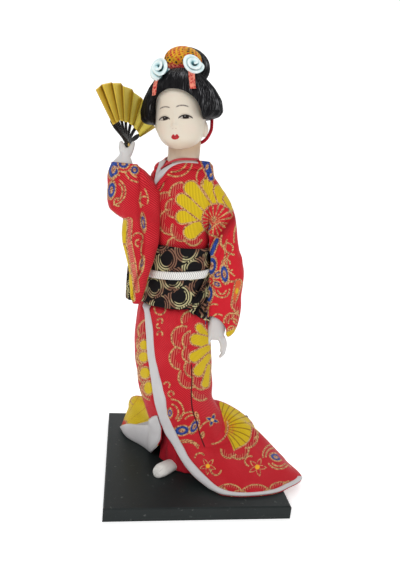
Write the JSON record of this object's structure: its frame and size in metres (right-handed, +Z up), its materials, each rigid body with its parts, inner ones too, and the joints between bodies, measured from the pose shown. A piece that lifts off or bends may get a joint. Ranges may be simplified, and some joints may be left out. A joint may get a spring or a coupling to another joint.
{
  "type": "geisha doll",
  "caption": "Standing display doll in a red brocade kimono with a trailing hem, dark sash, raised folding fan and dressed hair, on a square plinth",
  "frame": {"origin": "centre of the plinth's underside", "axes": "+Z up; -Y is the plinth's front, towards which the hem's train sweeps; +X is the train's side, the doll's left"},
  "size_m": [0.1579, 0.12, 0.2856],
  "materials": {
    "plinth": "satin black paint",
    "brocade": "ribbed red brocade with flowers in yellow, gold and blue",
    "satin": "white satin",
    "red_silk": "plain red cloth",
    "sash": "black brocade with arcs in cream and maroon",
    "skin": "smooth matt white",
    "hair": "combed black strands",
    "bun_cloth": "amber cloth with red and black dots",
    "rose": "pale blue satin ribbon",
    "ribbon": "coral crepe",
    "gold_paper": "gold",
    "lacquer": "black gloss",
    "brass": "polished"
  },
  "bodies": {
    "root": {"base": "plinth", "foot": "skin", "under_robe": "red_silk", "kimono": "brocade", "head": "skin", "wig": "hair", "hair_bun": "hair", "bun_cloth": "bun_cloth", "rosette_left": "rose", "rosette_right": "rose", "ribbon_right": "ribbon", "ribbon_left": "ribbon", "ear_cord": "red_silk", "obi": "sash", "obi_cord": "satin", "obi_tail": "sash", "front_band": "satin", "fold_band": "satin", "hand_left": "skin", "hand_right": "skin", "sleeve_right": "brocade", "sleeve_left": "brocade", "obi_bow": "sash", "inner_collar": "red_silk", "under_collar": "satin", "fan_leaf": "gold_paper", "fan_rib_1": "lacquer", "fan_rib_2": "lacquer", "fan_rib_3": "lacquer", "fan_rib_4": "lacquer", "fan_rib_5": "lacquer", "fan_rib_6": "lacquer", "fan_rib_7": "lacquer", "fan_rib_8": "lacquer", "fan_rib_9": "lacquer", "fan_pivot": "brass"}
  },
  "joints": []
}
